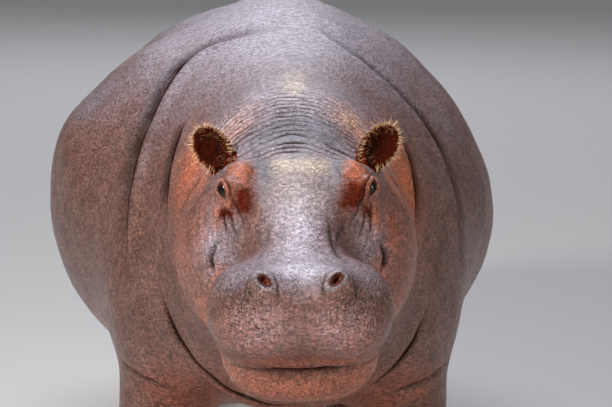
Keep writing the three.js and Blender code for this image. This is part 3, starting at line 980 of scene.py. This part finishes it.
hideRange = {
    # the part of each value that counts, then what it comes to
    "flankLight": (0.3, 0.7, 0.2, 0.75),
    "back": (0.4, 1.05),
    "sheenBreakup": (0.3, 0.6, 0.55, 1.0),
    "mottle": (0.3, 0.62, 0.5, 1.0),
    "russet": (0.2, 0.5, 0.8, 1.1),
    "freckles": (0.47, 0.6),
    "pits": (0.5, 0.15),
    "blotches": (0.5, 0.6, 0.0, 0.75),
    "ripple": (0.34, 0.66, -0.44, 0.52),
    "streaky": (0.32, 0.68, 0.66, 1.4),
    "fine": (0.32, 0.68, 0.66, 1.36),
    "gloss": (0.3, 0.7, 0.3, 0.48),
    "patchy": (0.35, 0.65, 0.06, 0.3),
    "cracks": (0.0, 0.2),
    # from the body to the face
    "calmer": (0.0, 1.0, 1.0, 0.8),
    "relief": (0.0, 1.0, 0.006, 0.0042),
}


def skinMaterial(name, specular, coat=0.0, **settings):
    material, tree, shader = newMaterial(name, Specular_IOR_Level=specular, Coat_Weight=coat, **settings)
    tone = skinTones
    place = objectPlace(tree)

    def grained(name):
        at = stretchedPlace(tree, hideStretch[name]) if name in hideStretch else place
        return grain(tree, at, *hideGrain[name])

    def ranged(name, value=None):
        return between(tree, grained(name) if value is None else value, *hideRange[name])

    def laid(colour, mark, strength):  # the tone of a mark, where the mark is
        return blend(tree, times(tree, marked(tree, mark), strength, True), colour, tone[mark])

    upward = node(tree, "SeparateXYZ", {"Vector": node(tree, "NewGeometry").outputs["Normal"]}).outputs["Z"]
    cloudy, ripple, streaky, fine = map(grained, ("cloudy", "ripple", "streaky", "fine"))
    # skin that faces up turns towards the back tone: a painted sky sheen
    skySheen = calc(tree, "ADD", upward, times(tree, calc(tree, "SUBTRACT", grained("broad"), 0.5), 0.9))
    colour = blend(tree, ranged("flankLight", cloudy), tone["flank"], tone["flankLight"])
    colour = blend(tree, ranged("back", skySheen), colour, tone["back"])
    # a painted sky sheen where the lavender mark lies, broken into patches
    colour = laid(colour, "lavender", ranged("sheenBreakup"))
    mottle = ranged("mottle")
    colour = laid(laid(colour, "pink", mottle), "orange", mottle)
    colour = laid(colour, "russet", ranged("russet", cloudy))
    colour = laid(colour, "pale", calc(tree, "ADD", 0.4, times(tree, ranged("freckles"), 0.5)))
    colour = laid(colour, "slate", 0.85)
    follicles = node(tree, "TexVoronoi", {"Vector": place, "Scale": hideCells["follicles"]})
    pits, blotches = ranged("pits", follicles.outputs["Distance"]), ranged("blotches")
    pits, blotches = (times(tree, spots, marked(tree, "whiskers"), True) for spots in (pits, blotches))
    colour = blend(tree, blotches, blend(tree, pits, colour, tone["fleck"]), tone["fleck"])
    speckle = times(tree, ranged("ripple", ripple), ranged("calmer", marked(tree, "face")))
    speckle = calc(tree, "ADD", speckle, 1.0)
    speckle = times(tree, times(tree, speckle, ranged("streaky", streaky)), ranged("fine", fine))
    # painted shade darkens the creases
    drive(tree, shader, Base_Color=laid(scaled(tree, colour, speckle), "crease", 0.8))
    dull = times(tree, marked(tree, "crease"), 0.85)
    for name, share in (("russet", 0.9), ("orange", 0.4), ("pink", 0.5)):
        dull = calc(tree, "ADD", dull, times(tree, marked(tree, name), share, True))
    shine = calc(tree, "SUBTRACT", 1.0, dull, True)  # the painted crease shade and the red marks stay dull
    drive(tree, shader, Specular_IOR_Level=times(tree, shine, specular), Roughness=ranged("gloss"))
    if coat:
        wet = bump(tree, hideBump["strength"], hideBump["drops"], grained("drops"))
        drive(tree, shader, Coat_Weight=times(tree, shine, coat), Coat_Normal=wet)
    cracks = {"Vector": stretchedPlace(tree, hideStretch["cracks"]), "Scale": hideCells["cracks"]}
    cracks = node(tree, "TexVoronoi", cracks, feature="DISTANCE_TO_EDGE").outputs["Distance"]
    relief = calc(tree, "ADD", times(tree, ranged("cracks", cracks), ranged("patchy")), ripple)
    for height, share in ((streaky, 0.5), (fine, 0.3), (pits, -0.8)):
        relief = calc(tree, "ADD", relief, times(tree, height, share))
    depth = ranged("relief", marked(tree, "face"))
    drive(tree, shader, Normal=bump(tree, hideBump["strength"], depth, relief))
    return material


skin.data.materials.append(skinMaterial("wet hide", 0.28, 0.3, Coat_Roughness=0.16, Coat_IOR=1.36))
skin.data.materials.append(skinMaterial("dry lining", 0.05))
first = np.empty(len(skin.data.polygons), np.int32)
skin.data.polygons.foreach_get("loop_start", first)
dry = lining[cornersOf(skin.data)[first]] > 0.5
skin.data.polygons.foreach_set("material_index", dry.astype(np.int32))
print("hide")

eyeLook = {
    "pupil": (0.002, 0.002, 0.002, 1),
    "irisDark": (0.015, 0.005, 0.002, 1),
    "irisLight": (0.055, 0.019, 0.007, 1),
    "ring": (0.02, 0.01, 0.008, 1),
    "white": (0.25, 0.13, 0.1, 1),
    # from the middle of the pupil, where the eyeball's half-width is 1
    "irisStart": (0.36, 0.42),
    "ringStart": (0.72, 0.8),
    "whiteStart": (0.9, 1.05),
    "wider": 1.25,  # the pupil is wider than high
    "bulge": 0.035,
    "size": 0.985,
}


def eyeMaterial():
    material, tree, shader = newMaterial("eye", Roughness=0.3, Specular_IOR_Level=0.1, Coat_Weight=0.4,
                                         Coat_Roughness=0.03)
    turned = marked(tree, "fromPupil")
    rays = grain(tree, objectPlace(tree), 700, 3)
    iris = blend(tree, rays, eyeLook["irisDark"], eyeLook["irisLight"])
    colour = blend(tree, between(tree, turned, *eyeLook["irisStart"]), eyeLook["pupil"], iris)
    colour = blend(tree, between(tree, turned, *eyeLook["ringStart"]), colour, eyeLook["ring"])
    colour = blend(tree, between(tree, turned, *eyeLook["whiteStart"]), colour, eyeLook["white"])
    drive(tree, shader, Base_Color=colour)
    return material


def makeEye(name, side, material):
    shape = bmesh.new()
    bmesh.ops.create_uvsphere(shape, u_segments=96, v_segments=64, radius=1)
    gaze, corner, above = eyeAxes(side)
    place = np.array([v.co[:] for v in shape.verts])
    away = np.hypot(place[:, 0], place[:, 1] * eyeLook["wider"])
    angle = np.where(place[:, 2] > 0, away, 3)
    cornea = np.exp(-((np.hypot(place[:, 0], place[:, 1]) / 0.55) ** 4)) * (place[:, 2] > 0)
    bulge = 1 + eyeLook["bulge"] * cornea
    local = place * (bulge * eyeRadius * eyeLook["size"])[:, None]
    world = skullOrigin + (local @ np.array([corner, above, gaze])
                           + [side * eyeSpread, skull["eyeAhead"], 0]) @ skullAxes
    for vertex, spot in zip(shape.verts, world):
        vertex.co = spot
    bmesh.ops.recalc_face_normals(shape, faces=shape.faces)
    mesh = meshOf(name, shape)
    addLayer(mesh, "fromPupil", angle)
    smoothShaded(mesh)
    item = placed(name, mesh, material)
    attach(item, "root")
    return item


eyeGloss = eyeMaterial()
for name, side in bothSides.items():
    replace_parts(makeEye(f"eyeball_{name}", side, eyeGloss), f"eye_{name}")
print("eyes")


def hairMaterial(name, root, tip):
    material, tree, shader = newMaterial(name, Roughness=0.45)
    colour = blend(tree, marked(tree, "along"), (*root, 1), (*tip, 1))
    drive(tree, shader, Base_Color=scaled(tree, colour, marked(tree, "shade")))
    return material


def makeBristles(name, kind, chosen, direction, flat, material):
    # thin tapered hairs that start on the chosen points of the skin and bend as they grow
    count, width, rings = len(chosen), kind["width"], 4
    direction = direction / lengths(direction)[:, None]
    length = kind["length"] * random.uniform(0.55, 1.2, count)
    bend = random.normal(0, 0.25, (count, 3)) + [0, 0, -0.15]
    sideways = np.cross(direction, random.normal(0, 1, (count, 3)))
    sideways /= lengths(sideways)[:, None]
    third = np.cross(direction, sideways)
    root = points[chosen] - direction * 0.0015
    places, along = [], []
    for ring in range(rings):
        t = ring / rings
        middle = root + length[:, None] * (direction * t + bend * t * t)
        for corner in range(3):
            turn = corner * math.tau / 3
            out = sideways * math.cos(turn) + third * math.sin(turn)
            places.append(middle + out * width * (1 - 0.75 * t) / 2)
            along.append(t)
    places.append(root + length[:, None] * (direction + bend))
    along.append(1)
    layers = len(places)
    places = np.stack(places, 1).reshape(-1, 3).clip(lowCorner + 2e-4, highCorner - 2e-4)
    starts = np.arange(count)[:, None] * layers
    walls = []
    for ring in range(rings):
        for corner in range(3):
            here, beside = ring * 3 + corner, ring * 3 + (corner + 1) % 3
            above = (here + 3, beside + 3) if ring < rings - 1 else (layers - 1,) * 2
            walls.append(starts + [here, beside, above[1]])
            if ring < rings - 1:
                walls.append(starts + [here, above[1], above[0]])
    faces = np.concatenate([*walls, starts + [2, 1, 0]])
    mesh = bpy.data.meshes.new(name)
    mesh.from_pydata(places.tolist(), [], faces.tolist())
    unwrapped = mesh.uv_layers.new(name="OFBake")
    hair, layer = np.divmod(cornersOf(mesh), layers)
    spot = np.stack([0.003 * (layer % 3) / 2, 0.003 * np.asarray(along)[layer]], 1)
    unwrapped.data.foreach_set("uv", (flat[hair] + spot).ravel().astype(np.float32))
    addLayer(mesh, "along", np.tile(along, count))
    addLayer(mesh, "shade", np.repeat(random.uniform(0.6, 1.25, count), layers))
    item = placed(name, mesh, material)
    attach(item, "root")
    print(name, len(faces))
    return item


def unwrap(place, along):  # the skin near a part, opened out round an axis into a square
    low, high = place.min(0), place.max(0)
    middle = (low + high) / 2
    across, up = [k for k in range(3) if k != along]
    turn = np.arctan2(place[:, up] - middle[up], place[:, across] - middle[across]) / math.tau + 0.5
    rise = (place[:, along] - low[along]) / (high[along] - low[along])
    return np.stack([turn * 0.99, rise * 0.99], 1)


bristles = {
    "earRim": {"slots": 72, "inSlot": 3, "length": 0.016, "width": 0.0011},
    "earLining": {"count": 160, "length": 0.012, "width": 0.0007},
    "muzzle": {"count": 420, "length": 0.011, "width": 0.0007},
    "tail": {"count": 700, "length": 0.03, "width": 0.0012, "reach": 0.14},
}
golden = hairMaterial("golden bristle", (0.62, 0.30, 0.10), (1.0, 0.84, 0.56))
brown = hairMaterial("brown bristle", (0.16, 0.06, 0.02), (0.55, 0.30, 0.12))
greyHair = hairMaterial("pale bristle", (0.22, 0.15, 0.12), (0.55, 0.45, 0.38))
darkHair = hairMaterial("tail bristle", (0.03, 0.02, 0.016), (0.09, 0.06, 0.05))
for name, side in bothSides.items():
    onEar = np.flatnonzero(inBox(points, f"ear_{name}", 0.003))
    measures, axes = earMeasures(side, head[onEar])
    flat = unwrap(measures, 2)
    up, across = measures[:, 2] / ear["hollow"][2], measures[:, 0] / ear["hollow"][0]
    turn, ringSize = np.arctan2(up, across), np.hypot(up, across)
    kind = bristles["earRim"]
    slot = ((turn + math.pi) / math.tau * kind["slots"]).astype(int).clip(0, kind["slots"] - 1)
    edge = np.full(kind["slots"], -1.0)  # how far out the ear reaches at each slot round it
    np.maximum.at(edge, slot, np.where(ringSize > 0.9, measures[:, 1], -1))
    rim = np.flatnonzero((ringSize > 1.0) & (measures[:, 1] > edge[slot] - 0.007) & (np.sin(turn) > -0.96))
    rim = [random.choice(rim[slot[rim] == k], kind["inSlot"]) for k in np.unique(slot[rim])]
    rim = np.concatenate(rim)
    outward = np.stack([np.cos(turn[rim]), np.full(len(rim), 0.15), np.sin(turn[rim])], 1)
    outward = (outward + random.normal(0, 0.18, outward.shape)) @ axes @ skullAxes
    makeBristles(f"ear_bristles_{name}", kind, onEar[rim], outward, flat[rim], golden)
    kind = bristles["earLining"]
    inner = np.flatnonzero((ringSize < 1.05) & (ringSize > 0.6) & (measures[:, 0] * side < 0.01))
    inner = random.choice(inner, kind["count"])
    inward = random.normal(0, 0.25, (len(inner), 3)) + [0.5 * side, 0.7, 0.45]
    inward = inward @ axes @ skullAxes
    makeBristles(f"ear_tuft_{name}", kind, onEar[inner], inward, flat[inner], brown)

onChin = (chinDown > 0.6) & (head[:, 1] > 0.2) & (head[:, 2] > -0.38)
padded = np.flatnonzero((marks["whiskers"] > 0.25) | onChin)
flat = unwrap(head[padded], 1)
pick = random.choice(len(padded), bristles["muzzle"]["count"])
roots = padded[pick]
lie = normals[roots] * 0.6 + np.array([0, 0.35, -0.75]) + random.normal(0, 0.2, (len(roots), 3))
makeBristles("whiskers", bristles["muzzle"], roots, lie, flat[pick], greyHair)

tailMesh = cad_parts["tail"].data
tailFaces = [face.vertices for face in tailMesh.polygons]
tailTree = BVHTree.FromPolygons([spot.co for spot in tailMesh.vertices], tailFaces)
low, high = boxOf("tail")
brush = bristles["tail"]
nearTail = np.flatnonzero(inBox(points, "tail", 0.004) & (points[:, 2] < low[2] + brush["reach"]))
gaps = np.array([tailTree.find_nearest(spot)[3] for spot in points[nearTail].tolist()])
onTail = nearTail[gaps < 0.008]
flat = unwrap(points[onTail], 2)
edgeness = np.abs(normals[onTail, 1]) + 0.2  # the tip's two edges carry the brush
edgeness *= 1.1 - (points[onTail, 2] - low[2]) / brush["reach"]
pick = random.choice(len(onTail), brush["count"], p=edgeness / edgeness.sum())
roots = onTail[pick]
lie = normals[roots] * [0.35, 0.9, 0.3] + [0, 0, -0.8] + random.normal(0, 0.12, (len(roots), 3))
makeBristles("tail_bristles", brush, roots, lie, flat[pick], darkHair)


nailLook = {
    "dark": (0.035, 0.023, 0.018, 1),
    "light": (0.095, 0.064, 0.05, 1),
    "ridges": (0.17, 0.12, 0.09, 1),
    "rounding": 3,
    "thick": 0.4,    # how far it stands out, as a share of the frame's nail
    "thinner": 0.16,  # how much that falls towards the top
    "square": 0.5,
}


def hornMaterial():
    material, tree, shader = newMaterial("nail horn", Coat_Weight=0.2, Coat_Roughness=0.25)
    ridges = grain(tree, stretchedPlace(tree, (1, 1, 0.15)), 260, 3)
    cloud = grain(tree, objectPlace(tree), 40, 3)
    colour = blend(tree, between(tree, cloud, 0.3, 0.7), nailLook["dark"], nailLook["light"])
    colour = blend(tree, times(tree, ridges, 0.4), colour, nailLook["ridges"])
    drive(tree, shader, Base_Color=colour)
    drive(tree, shader, Roughness=between(tree, ridges, 0.3, 0.7, 0.35, 0.6))
    drive(tree, shader, Normal=bump(tree, 0.4, 0.002, ridges))
    return material


def smoothCopy(name, source, levels):
    item = placed(name, source.data.copy())
    item.matrix_world = source.matrix_world
    welded = bmesh.new()
    welded.from_mesh(item.data)
    bmesh.ops.remove_doubles(welded, verts=welded.verts, dist=1e-4)
    welded.to_mesh(item.data)
    welded.free()
    item.modifiers.new("rounded", "SUBSURF").levels = levels
    rounded = finishedMesh(item)
    item.modifiers.clear()
    item.data = rounded
    smoothShaded(rounded)
    return item


def shapeNail(nail, name):  # blunt and squared, and flatter on the side that shows
    low, high = boxOf(name)
    middle = (low + high) / 2
    foot = centreOf("leg_" + name[5:-2])
    outward = unit([middle[0] - foot[0], middle[1] - foot[1] - 0.02, 0])
    sideways = np.array([outward[1], -outward[0], 0])
    place = pointsOf(nail.data) - middle
    out, across, up = place @ outward, place @ sideways, place[:, 2]
    u, v = across / np.abs(across).max(), up / np.abs(up).max()
    squarer = (np.hypot(u, v) + 1e-6) / ((u ** 4 + v ** 4) ** 0.25 + 1e-6)
    squarer = 1 + (squarer.clip(1, 1.19) - 1) * nailLook["square"] * smoothStep(0.2, 0.8, np.hypot(u, v))
    out = np.where(out > 0, out * (nailLook["thick"] - nailLook["thinner"] * v), out)
    place = middle + np.outer(out, outward) + np.outer(across * squarer, sideways)
    place += np.outer(up * squarer, [0, 0, 1])
    place[:, 2] = place[:, 2].clip(0.001)
    nail.data.vertices.foreach_set("co", place.astype(np.float32).ravel())
    nail.data.update()


horn = hornMaterial()
for name in nailNodes:
    nail = smoothCopy(f"{name}_horn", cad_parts[name], nailLook["rounding"])
    shapeNail(nail, name)
    nail.data.materials.clear()
    nail.data.materials.append(horn)
    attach(nail, "root")
    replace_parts(nail, name)
print("nails")


studio = {
    "lights": {
        # place, watts, size, colour
        "overhead": ((-0.3, 1.2, 5.4), 230, 4.0, (0.90, 0.92, 1.0)),
        "key": ((-3.4, -4.8, 4.4), 430, 0.9, (1.0, 0.96, 0.91)),
        "rear": ((0.0, 9.0, 5.5), 150, 6.0, (0.88, 0.90, 1.0)),
        "fill": ((4.2, -5.0, 2.2), 110, 2.5, (1.0, 0.92, 0.84)),
    },
    "aim": (0, -0.3, 0.9),
    "sky": (0.86, 0.88, 0.92, 1),
    "skyStrength": 0.18,
    "floor": (0.52, 0.51, 0.50, 1),
    # the floor is painted paler with distance: painted light where the lamps reach less
    "floorFarPaintedLight": (0.92, 0.91, 0.90, 1),
    "floorFade": (2.5, 10),
}


def makeFloor():
    shape = bmesh.new()
    bmesh.ops.create_grid(shape, x_segments=2, y_segments=2, size=60)
    material, tree, shader = newMaterial("studio floor", Roughness=0.7)
    reach = node(tree, "VectorMath", {0: objectPlace(tree)}, operation="LENGTH")
    # paler further out: painted light
    paintedLightFar = between(tree, reach.outputs["Value"], *studio["floorFade"])
    drive(tree, shader, Base_Color=blend(tree, paintedLightFar, studio["floor"], studio["floorFarPaintedLight"]))
    placed("floor", meshOf("floor", shape), material)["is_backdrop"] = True


def makeLights():
    for name, (place, watts, size, colour) in studio["lights"].items():
        data = bpy.data.lights.new(name, "AREA")
        data.shape = "DISK"
        data.energy, data.size, data.color = watts, size, colour
        lamp = bpy.data.objects.new(name, data)
        lamp.location = place
        towards = Vector(studio["aim"]) - lamp.location
        lamp.rotation_euler = towards.to_track_quat("-Z", "Y").to_euler()
        bpy.context.collection.objects.link(lamp)
    world = bpy.data.worlds.new("studio")
    world.use_nodes = True
    background = world.node_tree.nodes["Background"]
    background.inputs["Color"].default_value = studio["sky"]
    background.inputs["Strength"].default_value = studio["skyStrength"]
    bpy.context.scene.world = world
    bpy.context.scene.view_settings.view_transform = "Standard"


makeFloor()
makeLights()
print("studio")

sizes = {"cad": [list(corner) for corner in cadBounds], "visual": [list(corner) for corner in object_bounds()]}
